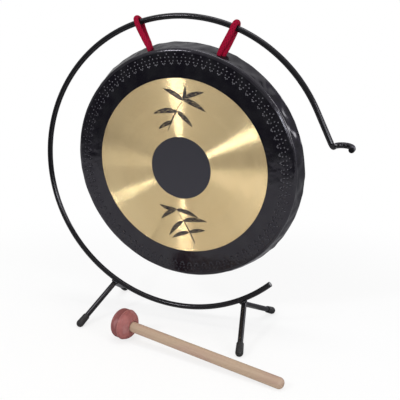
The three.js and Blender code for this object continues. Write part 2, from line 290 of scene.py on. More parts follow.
cordLook = {"crimson": (0.30, 0.0035, 0.027), "dark": (0.14, 0.003, 0.015), "faded": (0.36, 0.008, 0.04),
            "plaits": 6, "plaitLength": 4.2, "rough": 0.85, "gloss": 0.05, "relief": 0.00035}


# Plaited cord: two families of slanting strands cross round it, as sines on the piece's own map. The higher of the
# two shows at each place.
def cordFinish():
    f = newFinish("crimson cord")
    around, along, _ = f.parts(f.node("UVMap", {}, uv_map="along"))
    turns = around * (2 * np.pi * cordLook["plaits"])
    run = along * (2 * np.pi / cordLook["plaitLength"])
    weave = f.maths("MAXIMUM", f.maths("SINE", turns + run), f.maths("SINE", turns - run)) * 0.5 + 0.5
    spot = f.place()
    fuzz = f.noise(spot, 2.6, detail=4, rough=0.7)
    blotch = f.noise(spot, 0.09)
    # Partly painted shade: the cord is darker where the weave sinks between the strands, and its tone also varies at
    # random with the fuzz
    shade = f.between(weave * 0.7 + fuzz * 0.5, 0.25, 0.95)
    colour = f.layers(cordLook["dark"], (shade, cordLook["crimson"]),
                      (f.between(blotch, 0.35, 0.75, end=0.25), cordLook["faded"]))
    return f.surface(cordLook, colour, 0, f.bump(weave * 0.8 + fuzz * 0.5, cordLook["relief"], 0.8))


hoop = {"radius": 3, "halfWidth": 164.4, "halfHeight": 159.1, "lowEnd": -48.7, "curl": 2.3, "curlFrom": -95,
        "runOut": 25, "ovalSteps": 419, "runSteps": 12}
hook = {"height": 32.4, "bend": 5, "radius": 9.2, "leg": 5.5, "tip": 2, "rise": 1.3, "droop": 1.3,
        "bendSteps": 16, "steps": 40, "tipSteps": 5}
gong = {"centre": (4.3, -2.4295, 0.6066), "lean": 6.5, "face": 126, "flare": 6.1, "depth": 17.5, "thick": 1.8,
        "rim": 1.5, "edge": 3, "lip": 0.7, "holeDepth": 8.5}
# The cords: squeezed for a length in the hole, and flat from a length before the top of the bar, each with the run
# that it takes to change. Ends close by rings of (distance out, share of the radius).
cords = {"diameter": 5.2, "gap": 0.4, "rise": 2, "seat": 0.3, "clear": 0.6, "squeeze": 0.84, "squeezed": (3.8, 5.5),
         "flat": 0.76, "flattened": (17, 7), "end": [(0.05, 0.98), (0.2, 0.8), (0.25, 0.4)],
         "sides": 28, "holeSteps": 3, "strandSteps": 16, "loopSteps": 40, "softenings": 4,
         "left": {"hole": 104.2, "over": 105.4, "twist": 0, "bow": 0.9, "plump": 0.15},
         "right": {"hole": 68.4, "over": 67.5, "twist": 65, "bow": 0.3, "plump": 0.4}}
knot = {"radius": 6.3, "height": 4.6, "gap": 0.9, "tube": 1.9, "end": [(0.02, 0.5)], "start": (0.3, 0.9, 0.1),
        "steps": 96, "sides": 18}
tail = {"length": 11, "rise": 0.3, "sway": 0.5, "swayTurn": 2.4, "thick": 0.94, "taper": 0.1,
        "end": [(0.05, 0.9), (0.1, 0.5)], "steps": 16}


# The hoop's line: an oval, drawn in towards its low end by the square of the share of the way there.
def hoopPoint(degrees):
    along = np.where(np.asarray(degrees) > hoop["lowEnd"], np.asarray(degrees) - 360.0, degrees)
    share = np.maximum(0, (along - hoop["curlFrom"]) / (hoop["lowEnd"] - hoop["curlFrom"]))
    x, z = polar(degrees)
    point = np.stack([hoop["halfWidth"] * x, np.zeros_like(x), hoop["halfHeight"] * z], -1)
    length = np.linalg.norm(point, axis=-1, keepdims=True)
    return point * (1 - hoop["curl"] * (share[..., None] ** 2) / length)


def rimRadius(depth):
    return gong["face"] + gong["flare"] * depth / gong["depth"]


# Points given on the gong (across, depth, up) in the hoop's axes
def onGong(points):
    turn = np.radians(gong["lean"])
    x, y, z = np.moveaxis(np.asarray(points, float), -1, 0)
    return np.stack([x, y * np.cos(turn) - z * np.sin(turn), y * np.sin(turn) + z * np.cos(turn)], -1) + gong["centre"]


# A cord's line: up out of the hole, round the bar in a circle that both strands meet as tangents, and back down.
# The twist turns the two strands about each other in the hole. Below the bar both bow outwards, by the sine of
# the square root of the share of the way down.
def cordLine(cord, thick):
    rod = hoopPoint(cord["over"])
    strand = (cords["diameter"] + cords["gap"]) / 2
    mouth = rimRadius(gong["holeDepth"])
    inside = mouth - gong["rim"] - cords["seat"]
    cx, cz = polar(cord["hole"])
    turned = np.radians(cord["twist"])
    apart = np.array([cz * np.sin(turned), np.cos(turned), -cx * np.sin(turned)]) * strand * cords["squeeze"]
    hub = backwards * gong["holeDepth"]
    outOf = np.array([cx, 0, cz])
    mouths = [onGong(outOf * (mouth + cords["rise"]) + hub + apart * side) for side in (-1, 1)]
    ends = [onGong(outOf * inside + hub + apart * side) for side in (-1, 1)]
    down = (mouths[0] + mouths[1]) / 2 - rod
    reach = np.linalg.norm(down)
    down = down / reach
    back = unit(backwards - down * down[1])
    ring = hoop["radius"] + cords["clear"] + cords["flat"] * thick
    inPlane = strand * np.cos(turned)
    start = np.arctan2(inPlane, reach) + np.arccos(ring / np.hypot(inPlane, reach))
    turn = np.linspace(start, 2 * np.pi - start, cords["loopSteps"] + 1)[:, None]
    loop = rod + down * ring * np.cos(turn) - back * ring * np.sin(turn)
    across = np.cross(down, back)
    steps = cords["strandSteps"]
    bulge = np.sin(np.pi * np.linspace(0, 1, steps + 1) ** 0.5)[:, None] * cord["bow"]
    bowed = bulge * np.sign(across[0] * cx) * across
    strands = [between(loop[end], mouth, steps) + bowed for end, mouth in zip((0, -1), mouths)]
    inner = [between(end, mouth, cords["holeSteps"]) for end, mouth in zip(ends, mouths)]
    line = [inner[0][:-1], strands[0][::-1][:-1], loop, strands[1][1:], inner[1][::-1][1:]]
    return np.concatenate(line), across


def endRings(shares, radius):
    return [(out, radius * share) for out, share in shares]


# A cord: a tube round its line, whose corners are softened by averaging each point with its neighbours. It narrows
# into the hole and flattens over the bar, both by smooth steps of the distance from its nearer end.
def addCord(side, finish):
    cord = cords[side]
    thick = cords["diameter"] / 2 + cord["plump"]
    line, across = cordLine(cord, thick)
    for _ in range(cords["softenings"]):
        line[1:-1] = line[1:-1] * 0.5 + (line[:-2] + line[2:]) * 0.25
    steps = stepsAlong(line)
    fromHole = np.minimum(steps, steps[-1] - steps)
    (held, freeing), (laid, laying) = cords["squeezed"], cords["flattened"]
    radius = thick * (1 - (1 - cords["squeeze"]) * (1 - smooth((fromHole - held) / freeing)))
    flat = 1 - (1 - cords["flat"]) * smooth((fromHole - fromHole.max() + laid) / laying)
    ends = endRings(cords["end"], radius[0])
    points, faces, pairs = sweep(line, radius, cords["sides"], across, ends, flat)
    makePiece(side + "Cord", points, faces, "hanging_gong", [side + "_cord_loop"], finish, pairs)


# A knot: a trefoil line, (sin t + 2 sin 2t, cos t - 2 cos 2t, -sin 3t), flattened to the knot's height, and the
# cord's two loose ends below it, which sway by part of a sine
def addKnot(side, finish):
    t = np.linspace(0, 2 * np.pi, knot["steps"] + 1)
    tube = knot["tube"]
    wide, high = knot["radius"] - tube, knot["height"] - tube
    x = (np.sin(t) + 2 * np.sin(2 * t)) / 3 * wide
    y = (np.cos(t) - 2 * np.cos(2 * t)) / 3 * wide
    z = -np.sin(3 * t) * high
    top = rimRadius(gong["holeDepth"]) - gong["rim"] - knot["gap"] - knot["height"]
    cx, cz = polar(cords[side]["hole"])
    up, across = np.array([cx, 0, cz]), np.array([-cz, 0, cx])
    centre = up * top + backwards * gong["holeDepth"]
    line = onGong(centre + across * x[:, None] + backwards * y[:, None] + up * z[:, None])
    tubes = [sweep(line, tube, knot["sides"], knot["start"], endRings(knot["end"], tube))]
    s = np.linspace(0, 1, tail["steps"] + 1)[:, None]
    radius = cords["diameter"] / 2 * (1 - tail["taper"] * (1 - s[:, 0])) * tail["thick"]
    for way in (-1, 1):
        offset = across * way * (cords["diameter"] / 2 + cords["gap"])
        sway = backwards * tail["sway"] * np.sin(tail["swayTurn"] * s + way)
        line = onGong(centre + offset - up * (tail["rise"] + tail["length"] * s) + sway)
        tubes.append(sweep(line, radius, knot["sides"], backwards, endRings(tail["end"], radius[-1])))
    starts = np.cumsum([0] + [len(points) for points, _, _ in tubes])
    points = np.concatenate([points for points, _, _ in tubes])
    faces = [np.concatenate([sets[k] + start for (_, sets, _), start in zip(tubes, starts)]) for k in (0, 1)]
    pairs = [np.concatenate([maps[k] for _, _, maps in tubes]) for k in (0, 1)]
    makePiece(side + "Knot", points, faces, "hanging_gong", [side + "_cord_knot"], finish, pairs)


crimson = cordFinish()
for side in ("left", "right"):
    addCord(side, crimson)
    addKnot(side, crimson)
print("cords made")


paintLook = {"black": (0.006, 0.006, 0.007), "dull": (0.011, 0.011, 0.0125), "rough": 0.15,
             "gloss": 0.27, "tint": (0.95, 0.92, 1), "relief": 0.0003}


# Enamelled bar: nearly black and glossy, with the faint waviness of thick paint and a few duller specks
def paintFinish():
    f = newFinish("black enamel")
    spot = f.place()
    waves = f.noise(spot, 0.22)
    specks = f.noise(spot, 1.7, detail=3, rough=0.6)
    colour = f.layers(paintLook["black"], (f.between(specks, 0.45, 0.8), paintLook["dull"]))
    normal = f.bump(waves + specks * 0.05, paintLook["relief"], 0.15)
    return f.surface(paintLook, colour, f.between(specks, 0.5, 0.75) * 0.1, normal)


# The whole hoop: the oval from its low end, a straight run, the bend backwards and the hook, half a circle that
# rises by a sine and droops evenly, then a straight tip
def hoopLine():
    oval = hoopPoint(np.linspace(hoop["lowEnd"], hoop["runOut"] - 360, hoop["ovalSteps"] + 1))
    turn = np.radians(hoop["runOut"])
    way = np.array([hoop["halfWidth"] * np.sin(turn), 0, -hoop["halfHeight"] * np.cos(turn)])
    corner = oval[-1] + way * (oval[-1][2] - hook["height"]) / -way[2]
    start = corner + backwards * hook["leg"]
    t = np.linspace(0, 1, hook["steps"] + 1)
    sine = np.sin(np.pi * t)
    curve = np.stack([start[0] + hook["radius"] * (1 - np.cos(np.pi * t)), hook["leg"] + hook["radius"] * sine,
                      hook["height"] + hook["rise"] * sine - hook["droop"] * t], -1)
    tip = np.array([start[0] + 2 * hook["radius"], -hook["tip"], hook["height"] - hook["droop"]])
    turnIn = bend(oval[-1], corner, start, hook["bend"], hook["bendSteps"])
    run = between(oval[-1], turnIn[0], hoop["runSteps"])
    return np.concatenate([oval, run[1:-1], turnIn, curve[1:], between(curve[-1], tip, hook["tipSteps"])[1:]])


# A bar of the stand: its sawn ends are rings of (distance out, radius) beyond the line, which draws back by as much.
bar = {"sides": 32, "cut": [(0, 3), (0.16, 2.93), (0.3, 2.74), (0.36, 2.5), (0.36, 1.2)]}


def addBar(name, line, node, finish):
    line, out = line.copy(), bar["cut"][-1][0]
    line[0] += unit(line[1] - line[0]) * out
    line[-1] += unit(line[-2] - line[-1]) * out
    points, faces, _ = sweep(line, hoop["radius"], bar["sides"], (1, 0, 0), bar["cut"])
    makePiece(name, points, faces, "stand", [node], finish)


legs = {"left": {"weld": -119.3, "foot": -98.2, "skew": 3.4}, "right": {"weld": -62.5, "foot": 93, "skew": 0.4},
        "floor": -middle[2], "halfDepth": 58.4, "bend": 6.5, "seat": 0.3, "settle": 6, "straightSteps": 24,
        "bendSteps": 20}
cap = {"radius": 4.2, "mouth": 3.85, "length": 16, "endWall": 4, "flat": 0.25, "bore": 0.05, "round": 0.45,
       "boreEdge": 0.25, "shoulder": (0.1, 4), "brim": (0.05, 1.2), "sides": 40, "domeSteps": 14, "roundSteps": 4}


# A leg: an inverted V between its feet with a rounded corner, whose top clears the underside of the hoop. The
# corner's rise depends on the slope that it gives the V, so it settles in a few rounds of
# reach - bend + bend * hypot(halfDepth, rise) / halfDepth.
def legPlan(side):
    leg = legs[side]
    seat = hoopPoint(leg["weld"])
    foot = np.array([leg["foot"], 0, legs["floor"] + cap["radius"] - cap["flat"]])
    down = unit(foot - seat)
    reach = np.linalg.norm(foot - seat) - 2 * hoop["radius"] - legs["seat"]
    rise = reach
    for _ in range(legs["settle"]):
        rise = reach - legs["bend"] + legs["bend"] * np.hypot(legs["halfDepth"], rise) / legs["halfDepth"]
    corner = foot - down * rise
    skew = np.sign(leg["foot"]) * leg["skew"]
    feet = [foot + np.array([end * skew, end * legs["halfDepth"], 0]) for end in (-1, 1)]
    ends = [at + unit(corner - at) * (cap["endWall"] + legs["seat"] - cap["radius"]) for at in feet]
    turn = bend(ends[0], corner, ends[1], legs["bend"], legs["bendSteps"])
    front, rear = [between(end, turn[k], legs["straightSteps"]) for end, k in zip(ends, (0, -1))]
    line = np.concatenate([front[:-1], turn, rear[::-1][1:]])
    return {"line": line, "seat": seat, "down": down, "corner": corner, "feet": feet}


weld = {"length": 4.6, "width": 3.06, "depth": 3.4, "inBar": 2, "ripple": 0.04, "ripples": 9, "slant": 3,
        "rings": 25, "sides": 48}


# A weld: an egg shape whose lower half is as deep as the bead and whose upper half stays inside the bar, with the
# ripples that welding leaves
def addWeld(side, plan, finish):
    down = plan["down"]
    along = unit(np.cross(backwards, down))
    centre = plan["seat"] + down * (hoop["radius"] + legs["seat"] / 2)
    rings, sides = weld["rings"], weld["sides"]
    lat = np.linspace(-np.pi / 2, np.pi / 2, rings + 2)[1:-1, None]
    lon = wholeTurn(sides)[None, :]
    bead = 1 + weld["ripple"] * np.sin(weld["ripples"] * lon + weld["slant"] * lat) * np.cos(lat) ** 2
    x = weld["length"] * np.cos(lat) * np.cos(lon) * bead
    y = weld["width"] * np.cos(lat) * np.sin(lon) * bead
    z = np.where(lat > 0, weld["depth"], weld["inBar"]) * np.sin(lat) + 0 * lon
    grid = centre + along * x[..., None] + backwards * y[..., None] + down * z[..., None]
    points = np.concatenate([grid.reshape(-1, 3), [centre - down * weld["inBar"], centre + down * weld["depth"]]])
    nodes = [side + "_weld_inner", side + "_weld_outer"]
    makePiece(side + "Weld", points, tubeFaces(rings, sides), "stand", nodes, finish)


# A turned shape: an outline of (radius, distance) pairs from pole to pole, carried round the axis from a point
def turned(outline, sides, at, axis, start):
    outline = np.asarray(outline, float)
    across = unit(np.asarray(start, float) - axis * np.dot(start, axis))
    turn = wholeTurn(sides)[:, None]
    ring = np.cos(turn) * across + np.sin(turn) * np.cross(axis, across)
    inner = outline[1:-1]
    points = at + inner[:, 1, None, None] * axis + inner[:, 0, None, None] * ring
    poles = at + outline[[0, -1], 1][:, None] * axis
    return np.concatenate([points.reshape(-1, 3), poles]), tubeFaces(len(inner), sides)


# Part of an ellipse in an outline, as (radius, distance) pairs about a centre
def arc(centre, radii, first, last, steps):
    t = np.radians(np.linspace(first, last, steps + 1))
    return np.stack([centre[0] + radii[0] * np.cos(t), centre[1] + radii[1] * np.sin(t)], -1)


rubberLook = {"black": (0.0075, 0.0075, 0.0085), "dusty": (0.02, 0.02, 0.022), "rough": 0.42, "gloss": 0.32,
              "relief": 0.00012}


def rubberFinish():
    f = newFinish("foot rubber")
    spot = f.place()
    grain = f.noise(spot, 3.5, detail=3, rough=0.6)
    dustAndGlint = f.noise(spot, 0.25, detail=3)
    colour = f.layers(rubberLook["black"], (f.between(dustAndGlint, 0.4, 0.75, end=0.6), rubberLook["dusty"]))
    return f.surface(rubberLook, colour, grain * 0.16, f.bump(grain, rubberLook["relief"], 0.5))


# The two caps of a leg: a round end, a wall that narrows to its rounded mouth, and the bore for the bar. Each is
# squashed flat where it stands.
def addCaps(side, plan, finish):
    r, mouth, length, edge = cap["radius"], cap["mouth"], cap["length"], cap["round"]
    bore = hoop["radius"] + cap["bore"]
    outline = np.concatenate([
        arc((0, r), (r, r), -90, 0, cap["domeSteps"]),
        [(r - cap["shoulder"][0], r + cap["shoulder"][1]), (mouth + cap["brim"][0], length - cap["brim"][1])],
        arc((mouth - edge, length - edge), (edge, edge), 0, 90, cap["roundSteps"]),
        [(bore + cap["boreEdge"], length), (bore, length - cap["boreEdge"]), (bore, cap["endWall"]),
         (0, cap["endWall"])]])
    for foot, place in zip(plan["feet"], ("front", "rear")):
        up = unit(plan["corner"] - foot)
        points, faces = turned(outline, cap["sides"], foot - up * r, up, (1, 0, 0))
        points[:, 2] = np.maximum(points[:, 2], legs["floor"])
        node = side + "_" + place + "_foot_cap"
        makePiece(side + place.capitalize() + "Cap", points, faces, "stand", [node], finish)


enamel, rubber = paintFinish(), rubberFinish()
plans = {side: legPlan(side) for side in ("left", "right")}
addBar("hoopBar", hoopLine(), "hoop_rod", enamel)
for side, plan in plans.items():
    addBar(side + "LegBar", plan["line"], side + "_leg_rod", enamel)
for side, plan in plans.items():
    addWeld(side, plan, enamel)
for side, plan in plans.items():
    addCaps(side, plan, rubber)
print("stand made")


# The gong's rings of points, by radius from its middle: brass from the boss to its edge, then the border with its
# dents. Blows are a count of waves, their fewest and most turns, and a seed.
dish = {"boss": 34.6, "brass": 96.9, "bandFrom": 107.4, "bandTo": 123.4, "bandStep": 0.48, "bandRings": 33,
        "columns": 400, "fine": 4, "edgeFrom": 12, "edgeSteps": 7, "rimFrom": 0.7, "rimSteps": 19,
        "insideFrom": 0.5, "insideSteps": 11, "cornerFrom": 15, "cornerSteps": 5,
        "faceRings": (4, 12, 22, 30, 34.2, 34.6, 35, 45, 58, 72, 86, 96.4, 96.9, 97.4, 102, 106.6),
        "backRings": (115, 108, 100, 97.6, 96.9, 96.2, 84, 70, 55, 42, 35, 34.6, 34.2, 24, 12, 4),
        "rimBlows": (20, 9, 56, 5), "backBlows": (20, 3, 22, 9), "slant": 0.45, "backSlant": 0.12,
        "hammer": 0.42, "edgeHammer": 0.12, "lipHammer": 0.2, "insideHammer": 0.18, "backHammer": 0.1,
        "growth": (0.4, 3), "sunk": 0.25, "lipEdge": 0.25, "lipSunk": 0.2, "lipFlat": (0.55, 0.35), "backRun": 90}
dent = {"scallops": 80, "depth": 0.34, "radius": 0.78, "dotRow": 121.4, "inScallop": 7, "halfWidth": 0.27,
        "top": 118.2, "drop": 7, "bulge": 0.9}
pitch = np.radians(360 / dent["scallops"])


# Dents in the face's border, as depth at polar places: a row of single dents, and a row of scallops whose dents
# follow a U from its two tips down to its foot. Each dent is a round hollow, depth times the power 1.5 of one minus
# the squared share of the distance.
def dentSpots():  # share of the pitch across, and distance from the gong's middle
    turn = np.radians(np.linspace(0, 180, dent["inScallop"]))
    scallop = zip(dent["halfWidth"] * np.cos(turn), dent["top"] - dent["drop"] * np.sin(turn) ** dent["bulge"])
    return [(0.5, dent["dotRow"]), (-0.5, dent["dotRow"])] + list(scallop)


def dentDepth(radius, degrees):
    share = (degrees / 360 * dent["scallops"]) % 1 - 0.5
    hollow = np.zeros_like(share)
    for at, distance in dentSpots():
        away = np.hypot((share - at) * pitch * radius, radius - distance) / dent["radius"]
        hollow = np.maximum(hollow, np.clip(1 - away ** 2, 0, 1) ** 1.5)
    return hollow * dent["depth"]


# Hammer marks: a sum of waves of whole numbers of turns, each with its own way along the depth
def hammered(degrees, depth, count, low, high, seed):
    r = np.random.default_rng(seed)
    turns = r.integers(low, high, count)
    slants = r.uniform(-dish["slant"], dish["slant"], count)
    phases = r.uniform(0, 2 * np.pi, count)
    waves = np.sin(np.outer(turns, np.radians(degrees)) + (depth * slants + phases)[:, None])
    return waves.sum(0) / np.sqrt(count)


# The gong's rings, from the middle of its face outwards, over the rounded edge, back along the rim, round its lip
# and in again to the middle of the back. The border with the dents has finer rings.
def gongRings():
    face, depth, edge, thick, rim = gong["face"], gong["depth"], gong["edge"], gong["thick"], gong["rim"]
    fine = np.linspace(0, 360, dish["columns"] * dish["fine"], endpoint=False)
    coarse = fine[::dish["fine"]]
    rings = []

    def ring(radius, depth, outward=0.0, inward=0.0, degrees=coarse):
        x, z = polar(degrees)
        rings.append(np.stack([(radius + outward) * x, depth + inward + 0 * x, (radius + outward) * z], -1))

    def rimBlows(depth):
        return hammered(coarse, depth, *dish["rimBlows"])

    for radius in dish["faceRings"]:
        ring(radius, 0)
    for radius in dish["bandFrom"] + dish["bandStep"] * np.arange(dish["bandRings"]):
        ring(radius, 0, inward=dentDepth(radius, fine), degrees=fine)
    ring(dish["bandTo"], 0)
    for t in np.radians(np.linspace(dish["edgeFrom"], 90, dish["edgeSteps"] + 1)):
        d = edge * (1 - np.cos(t))
        ring(face - edge + (rimRadius(edge) - face + edge) * np.sin(t), d, dish["edgeHammer"] * rimBlows(d) * np.sin(t))
    least, run = dish["growth"]
    for d in np.linspace(edge + dish["rimFrom"], depth - gong["lip"], dish["rimSteps"] + 1):
        share = least + (1 - least) * min(1, (d - edge) / run)
        ring(rimRadius(d), d, dish["hammer"] * rimBlows(d) * share - dish["sunk"])
    lip, (outer, inner) = rimRadius(depth), dish["lipFlat"]
    ring(lip - dish["lipEdge"], depth - dish["lipEdge"], dish["lipHammer"] * rimBlows(depth) - dish["lipSunk"])
    ring(lip - outer, depth)
    ring(lip - rim + inner, depth)
    for d in np.linspace(depth - dish["insideFrom"], thick + edge, dish["insideSteps"] + 1):
        ring(rimRadius(d) - rim, d, dish["insideHammer"] * rimBlows(d))
    corner = rimRadius(thick + edge) - rim
    for t in np.radians(np.linspace(dish["cornerFrom"], 90, dish["cornerSteps"] + 1)):
        ring(corner - edge * (1 - np.cos(t)), thick + edge * (1 - np.sin(t)))
    for radius in dish["backRings"]:
        blows = hammered(coarse, radius * dish["backSlant"], *dish["backBlows"]) * min(1, radius / dish["backRun"])
        ring(radius, thick, inward=dish["backHammer"] * blows)
    return rings


# Faces from ring to ring. Where a coarse ring meets a fine one, each face joins one coarse step to the fine steps
# beside it.
def gongFaces(counts):
    starts = np.concatenate([[0], np.cumsum(counts)])
    quads, wide, narrow = [], [], []
    step = dish["fine"]
    for a, b, n, m in zip(starts[:-2], starts[1:-1], counts[:-1], counts[1:]):
        j = np.arange(min(n, m))
        k = (j + 1) % min(n, m)
        if n == m:
            quads.append(np.stack([a + j, a + k, b + k, b + j], -1))
        elif m > n:
            wide.append(np.stack([a + j, a + k, *(b + (j * step + s) % m for s in range(step, -1, -1))], -1))
        else:
            narrow.append(np.stack([*(a + (j * step + s) % n for s in range(step + 1)), b + k, b + j], -1))
    fans = [fanFaces(counts[0], starts[-2], starts[-1])]
    return [np.concatenate(faces) for faces in (quads, wide, narrow, fans)]


def addGong(finish):
    rings = gongRings()
    points = np.concatenate([*rings, [[0, 0, 0], [0, gong["thick"], 0]]])
    faces = gongFaces([len(ring) for ring in rings])
    makePiece("gongDish", onGong(points), faces, "hanging_gong", ["gong"], finish)


gongLook = {"brass": (0.89, 0.68, 0.365), "paleBrass": (0.94, 0.735, 0.415), "duskBrass": (0.81, 0.60, 0.31),
            "black": (0.0055, 0.005, 0.0075), "greyBlack": (0.011, 0.011, 0.013), "boss": (0.022, 0.022, 0.028),
            "ink": (0.014, 0.010, 0.009), "dustAndGlint": (0.17, 0.17, 0.185), "skin": (0.17, 0.10, 0.042),
            "paleSkin": (0.25, 0.16, 0.07), "stain": (0.09, 0.052, 0.026), "corner": (0.07, 0.042, 0.022),
            "rough": 0.13, "gloss": 0.44, "tint": (0.92, 0.88, 1), "relief": 0.001, "dentRelief": 0.0005}
turning = {"pitch": 0.8, "slope": 0.83}  # of the lathe's grooves in the brass, millimetres and steepest slope
brush = {"taper": 0.6, "start": 1.3, "fall": 0.65, "spread": 1.15, "dry": 1.6, "soft": 0.3}
# Each stroke of the painted sprigs: foot across and up from the gong's middle, way in degrees, length, width, bow
sprigs = [(-13, 40, 60, 41, 1.9, 3), (6.5, 75, 18, 25, 5.4, 3), (6.5, 75, -27, 28, 5.8, 3), (6.5, 74, 78, 15, 4, -1.5),
          (6, 74, 152, 25, 5.4, -3), (-1, 62, -44, 23, 5.4, 2), (-1, 62, 187, 28, 5.8, -4), (-7, 51, 208, 19, 4.8, -2),
          (13, -88, 118, 46, 1.9, -3), (-8, -48, 168, 21, 5, 3), (-8, -48, -17, 27, 5.6, 3),
          (-8, -48, 214, 23, 5.2, -3), (-1, -61, 3, 29, 5.6, 4), (-1, -61, 228, 26, 5.2, -3),
          (6, -74, 12, 20, 4.8, 2), (6, -74, 203, 23, 5, -3)]


def highest(f, values):
    best = values[0]
    for value in values[1:]:
        best = f.maths("MAXIMUM", best, value)
    return best


# One brush stroke: broadest at a third of its length and drawn out to a point, with a dry, streaky edge
def stroke(f, x, z, streaks, foot, up, degrees, length, width, bow):
    c, s = polar(degrees)
    dx, dz = x - foot, z - up
    u = (dx * c + dz * s) / length
    within = f.maths("MAXIMUM", u * (1 - u), 0)
    bowed = (dz * c - dx * s) - within * (bow * 2)
    half = (within ** brush["taper"]) * (brush["start"] - u * brush["fall"]) * (width * brush["spread"])
    edge = half - f.maths("ABSOLUTE", bowed) - (streaks - 0.45) * brush["dry"]
    return f.between(edge, -brush["soft"], brush["soft"]) * f.between(within, 0.0, 0.02)


def inkMask(f, spot, x, z):
    streaks = f.noise(spot, (0.55, 0.55, 1.76), detail=3, rough=0.7)
    worn = f.noise(spot, (0.25, 0.25, 0.9), detail=3, rough=0.6)
    return highest(f, [stroke(f, x, z, streaks, *each) for each in sprigs]) * (1 - f.between(worn, 0.5, 0.68, end=0.45))


# Fine turning lines, from noise that changes with the radius alone, and large clouds
def brassColour(f, spot, radius, lines):
    broad = f.noise(f.vector(radius, 9.0, 0.0), 0.12)
    cloud = f.noise(spot, (0.02, 0, 0.02), detail=3)
    return f.layers(gongLook["brass"], (f.between(lines * 0.4 + broad * 0.5, 0.2, 0.7), gongLook["paleBrass"]),
                    (f.between(cloud, 0.3, 0.75, end=0.3), gongLook["duskBrass"]))


# The back as it left the hammer: bronze with a brown skin, darker into the corner
def backColour(f, spot, radius):
    tint = f.noise(spot, (0.022, 0.05, 0.022), detail=5, rough=0.65)
    stains = f.noise(spot, 0.5, detail=4, rough=0.7)
    return f.layers(gongLook["skin"], (f.between(tint, 0.32, 0.68), gongLook["paleSkin"]),
                    (f.between(stains, 0.52, 0.7, end=0.45), gongLook["stain"]),
                    (f.between(radius, 98, 124, end=0.7), gongLook["corner"]))


# The mesh's dents again for the finish, crisper than the mesh holds them: by symmetry one half of each scallop
def dentMask(f, radius, angle):
    turns = angle * (dent["scallops"] / (2 * np.pi)) + dent["scallops"]
    share = f.maths("ABSOLUTE", f.maths("FRACT", turns) - 0.5)
    dents = []
    for at, distance in dentSpots():
        if at > -0.01:
            across = (share - at) * radius * pitch
            away = (across * across + (radius - distance) ** 2) * (1 / dent["radius"] ** 2)
            dents.append(f.maths("MAXIMUM", 1 - away, 0))
    return highest(f, dents)


# Each turning groove tips the surface outwards or inwards by its own slope: a triangle wave of the radius, g, as
# 0.6 g + 0.4 g to the power 5
def grooveTip(f, radius, angle, mask):
    drift = f.noise(f.vector(radius, 21.0, 0.0), 0.35) * 4
    groove = f.maths("PINGPONG", radius * (2 / turning["pitch"]) + drift, 1) * 2 - 1
    slope = (groove * 0.6 + groove ** 5 * 0.4) * mask * turning["slope"]
    c, s = f.maths("COSINE", angle), f.maths("SINE", angle)
    lean = np.radians(gong["lean"])
    return f.vector(c * slope, s * slope * -np.sin(lean), s * slope * np.cos(lean))


def gongFinish():
    f = newFinish("gong bronze and lacquer")
    spot = f.place(toMetres(gong["centre"]), (np.radians(gong["lean"]), 0, 0))
    x, y, z = f.parts(spot)
    radius = (x * x + z * z) ** 0.5
    angle = f.maths("ARCTAN2", z, x)
    behind = f.between(y, 0.9, 1.0)  # 1 on the back of the face and on both sides of the rim
    onFace = (1 - behind) * (1 - f.between(radius, gong["face"] - 1.8, gong["face"] - 0.4))
    wavy = radius + (f.noise(spot, (0.05, 0, 0.05)) - 0.5) * 0.5
    boss, brass = dish["boss"], dish["brass"]
    bossMask = f.between(radius, boss - 0.15, boss + 0.1, 1, 0) * onFace
    brassMask = f.between(wavy, boss - 0.1, boss + 0.15) * f.between(wavy, brass - 0.1, brass + 0.15, 1, 0) * onFace
    innerFrom = radius - (gong["face"] - gong["rim"] - 1.2) - y * (gong["flare"] / gong["depth"])
    innerSide = behind * f.between(innerFrom, -0.3, 0.3, 1, 0)
    lines = f.noise(f.vector(radius, 3.0, 0.0), 1.1, detail=4, rough=0.75)
    ink = inkMask(f, spot, x, z) * brassMask
    dents = dentMask(f, radius, angle) * onFace
    # Painted highlight: a pale grey in the dents, most in the upper and right ones, stands in for their glints
    dustAndGlint = f.between(dents, 0.15, 0.7) * f.between(z + x * 0.35, -10, 90, 0.03, 0.7)  # most in the upper dents
    dustAndGlint = dustAndGlint * f.between(f.noise(spot, 0.35), 0.3, 0.6, 0.5, 1)
    colour = f.layers(gongLook["black"], (f.between(f.noise(spot, 0.06, detail=3), 0.35, 0.7), gongLook["greyBlack"]),
                      (bossMask, gongLook["boss"]), (brassMask, brassColour(f, spot, radius, lines)),
                      (ink, gongLook["ink"]), (innerSide, backColour(f, spot, radius)),
                      (dustAndGlint, gongLook["dustAndGlint"]))
    metal = f.maths("MAXIMUM", brassMask * (1 - ink), innerSide * 0.9)
    fineRough = f.noise(spot, 1.4, detail=3, rough=0.6)
    rougher = f.between(f.noise(spot, 0.05), 0.4, 0.7) * 0.05 + bossMask * 0.3
    rougher = rougher + brassMask * (lines * 0.03 - 0.01) + innerSide * 0.28 + ink * 0.1 + fineRough * 0.03
    blows = f.node("TexVoronoi", {
        "Vector": f.vector(x, y * 2, z), "Scale": 0.085, "Smoothness": 0.5}, feature="SMOOTH_F1")
    blows = blows * blows * innerSide * f.between(radius, 2, 12)
    ripple = f.noise(spot, 0.06) * (1 - brassMask) * (1 - bossMask)
    base = f.bump(ripple + fineRough * 0.03 - ink * 0.02 + blows * 1.6, gongLook["relief"], 0.5)
    base = f.bump(dents, -gongLook["dentRelief"], 0.9, base)
    tip = grooveTip(f, radius, angle, brassMask)
    added = f.node("VectorMath", {0: base, 1: tip}, operation="ADD")
    normal = f.node("VectorMath", {0: added}, operation="NORMALIZE")
    return f.surface(gongLook, colour, rougher, normal, metal)


addGong(gongFinish())
print("gong made")


